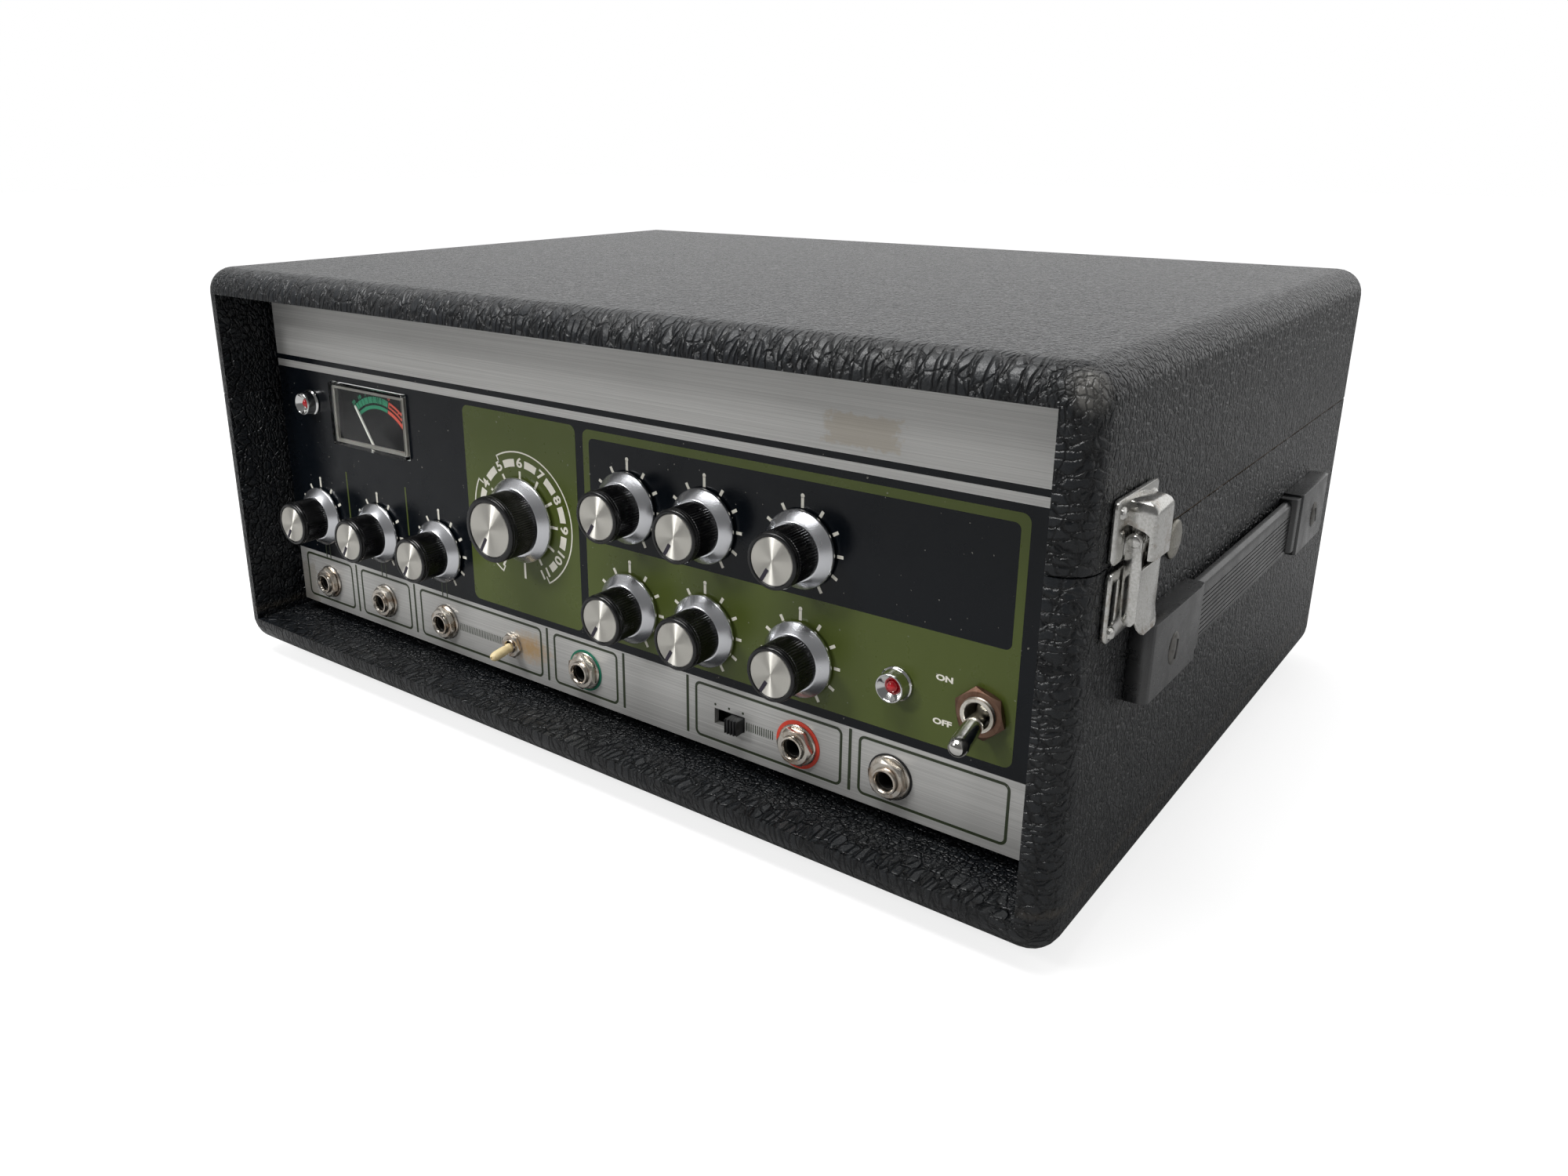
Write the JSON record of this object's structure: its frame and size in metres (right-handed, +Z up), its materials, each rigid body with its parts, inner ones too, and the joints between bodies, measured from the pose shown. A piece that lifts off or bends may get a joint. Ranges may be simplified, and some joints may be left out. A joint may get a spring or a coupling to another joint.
{
  "type": "tape echo unit",
  "caption": "Tape echo unit in a leatherette case with a lift-off lid, recessed control panel with knobs, switches, jacks and a level meter, side latches and a strap handle.",
  "frame": {"origin": "middle of the footprint, on the surface that the rubber feet stand on", "axes": "+Z up, -Y towards the user, out of the control panel, +X to the right as seen from the front"},
  "size_m": [0.4344, 0.31, 0.185],
  "materials": {
    "leatherette": "semi gloss leatherette with a bark grain",
    "panel": "brushed, printed in black and green",
    "steel": "plated sheet",
    "chrome": "worn chrome",
    "nickel": "dull nickel",
    "black_plastic": "semi gloss",
    "rubber": "matt",
    "clear": "clear acrylic",
    "aluminium": "spun",
    "brass": "turned",
    "circuit": "green board",
    "ivory": "yellowed sleeve",
    "tape": "oxide tape",
    "red": "red lens in a bright bezel"
  },
  "bodies": {
    "unit": {"lower_case": "leatherette", "foot_front_left": "rubber", "foot_front_right": "rubber", "foot_rear_left": "rubber", "foot_rear_right": "rubber", "cord_gland": "rubber", "drive_belt": "rubber", "meter_body": "black_plastic", "slide_switch_body": "black_plastic", "handle_strap": "black_plastic", "handle_cap_front": "black_plastic", "handle_cap_rear": "black_plastic", "control_board": "circuit", "main_board": "circuit", "head_block": "aluminium", "meter_cover": "clear", "tape_chamber": "clear", "peak_lamp": "red", "power_lamp": "red", "power_switch_body": "steel", "pad_switch_body": "steel", "rear_panel": "steel", "chassis_tray": "steel", "deck_plate": "steel", "capstan_motor": "steel", "spring_tank": "steel", "power_transformer": "steel", "latch_base_left": "chrome", "latch_base_right": "chrome", "jack_mic_1": "nickel", "jack_mic_2": "nickel", "jack_instrument": "nickel", "jack_output": "nickel", "jack_footswitch_1": "nickel", "jack_footswitch_2": "nickel", "front_panel": "panel", "tape_loop": "tape"},
    "lid": {"upper_lid": "leatherette", "latch_keeper_left": "chrome", "latch_keeper_right": "chrome"},
    "latch_lever_left": {"latch_lever_left": "chrome"},
    "latch_lever_right": {"latch_lever_right": "chrome"},
    "meter_needle": {"meter_needle": "aluminium"},
    "power_switch_lever": {"power_switch_lever": "chrome"},
    "pad_switch_lever": {"pad_switch_lever": "ivory"},
    "slide_switch_button": {"slide_switch_button": "black_plastic"},
    "capstan": {"capstan_flywheel": "steel"},
    "motor_pulley": {"motor_pulley": "brass"},
    "pinch_arm": {"pinch_arm": "steel"},
    "pinch_roller": {"pinch_roller": "rubber"},
    "knob_mic_1": {"knob_mic_1": "black_plastic"},
    "knob_mic_2": {"knob_mic_2": "black_plastic"},
    "knob_instrument": {"knob_instrument": "black_plastic"},
    "knob_mode": {"knob_mode": "black_plastic"},
    "knob_bass": {"knob_bass": "black_plastic"},
    "knob_treble": {"knob_treble": "black_plastic"},
    "knob_reverb_volume": {"knob_reverb_volume": "black_plastic"},
    "knob_repeat_rate": {"knob_repeat_rate": "black_plastic"},
    "knob_intensity": {"knob_intensity": "black_plastic"},
    "knob_echo_volume": {"knob_echo_volume": "black_plastic"}
  },
  "joints": [
    {"name": "lid_lift", "type": "slide", "parent": "unit", "child": "lid", "axis": [0, 0, 1], "range_m": [0, 0.09]},
    {"name": "latch_right", "type": "hinge", "parent": "unit", "child": "latch_lever_right", "pos_m": [0.2119, -0.125, 0.1356], "axis": [0, -1, 0], "range_deg": [0, 85]},
    {"name": "latch_left", "type": "hinge", "parent": "unit", "child": "latch_lever_left", "pos_m": [-0.2119, -0.125, 0.1356], "axis": [0, 1, 0], "range_deg": [0, 85]},
    {"name": "turn_mic_1", "type": "hinge", "parent": "unit", "child": "knob_mic_1", "pos_m": [-0.168, -0.131, 0.0709], "axis": [0, 1, 0], "range_deg": [0, 300]},
    {"name": "turn_mic_2", "type": "hinge", "parent": "unit", "child": "knob_mic_2", "pos_m": [-0.126, -0.131, 0.0709], "axis": [0, 1, 0], "range_deg": [0, 300]},
    {"name": "turn_instrument", "type": "hinge", "parent": "unit", "child": "knob_instrument", "pos_m": [-0.084, -0.131, 0.0709], "axis": [0, 1, 0], "range_deg": [0, 300]},
    {"name": "turn_mode", "type": "hinge", "parent": "unit", "child": "knob_mode", "pos_m": [-0.0319, -0.131, 0.0948], "axis": [0, 1, 0], "range_deg": [-30, 300]},
    {"name": "turn_bass", "type": "hinge", "parent": "unit", "child": "knob_bass", "pos_m": [0.0253, -0.131, 0.1105], "axis": [0, 1, 0], "range_deg": [0, 300]},
    {"name": "turn_treble", "type": "hinge", "parent": "unit", "child": "knob_treble", "pos_m": [0.0613, -0.131, 0.1105], "axis": [0, 1, 0], "range_deg": [0, 300]},
    {"name": "turn_reverb_volume", "type": "hinge", "parent": "unit", "child": "knob_reverb_volume", "pos_m": [0.1024, -0.131, 0.1105], "axis": [0, 1, 0], "range_deg": [0, 300]},
    {"name": "turn_repeat_rate", "type": "hinge", "parent": "unit", "child": "knob_repeat_rate", "pos_m": [0.0253, -0.131, 0.0709], "axis": [0, 1, 0], "range_deg": [0, 300]},
    {"name": "turn_intensity", "type": "hinge", "parent": "unit", "child": "knob_intensity", "pos_m": [0.0613, -0.131, 0.0709], "axis": [0, 1, 0], "range_deg": [0, 300]},
    {"name": "turn_echo_volume", "type": "hinge", "parent": "unit", "child": "knob_echo_volume", "pos_m": [0.1024, -0.131, 0.0709], "axis": [0, 1, 0], "range_deg": [0, 300]},
    {"name": "meter_swing", "type": "hinge", "parent": "unit", "child": "meter_needle", "pos_m": [-0.1258, -0.131, 0.1052], "axis": [0, 1, 0], "range_deg": [0, 70], "stiffness_Nm_per_rad": 0.00002},
    {"name": "power_toggle", "type": "hinge", "parent": "unit", "child": "power_switch_lever", "pos_m": [0.1705, -0.1285, 0.0713], "axis": [-1, 0, 0], "range_deg": [0, 36]},
    {"name": "pad_toggle", "type": "hinge", "parent": "unit", "child": "pad_switch_lever", "pos_m": [-0.042, -0.1285, 0.038], "axis": [-1, 0, 0], "range_deg": [0, 16]},
    {"name": "level_slide", "type": "slide", "parent": "unit", "child": "slide_switch_button", "axis": [-1, 0, 0], "range_m": [0, 0.0078]},
    {"name": "capstan_spin", "type": "hinge", "parent": "unit", "child": "capstan", "pos_m": [0.075, -0.0304, 0.087], "axis": [0, 0, 1], "continuous": true},
    {"name": "motor_spin", "type": "hinge", "parent": "unit", "child": "motor_pulley", "pos_m": [0.138, 0.022, 0.087], "axis": [0, 0, 1], "continuous": true},
    {"name": "pinch_release", "type": "hinge", "parent": "unit", "child": "pinch_arm", "pos_m": [0.108, -0.054, 0.105], "axis": [0, 0, 1], "range_deg": [0, 12]},
    {"name": "pinch_spin", "type": "hinge", "parent": "pinch_arm", "child": "pinch_roller", "pos_m": [0.075, -0.0436, 0.107], "axis": [0, 0, 1], "continuous": true}
  ],
  "couplings": [
    {"joint": "motor_spin", "follows": "capstan_spin", "ratio": 3.6966},
    {"joint": "pinch_spin", "follows": "capstan_spin", "ratio": -0.3333}
  ]
}
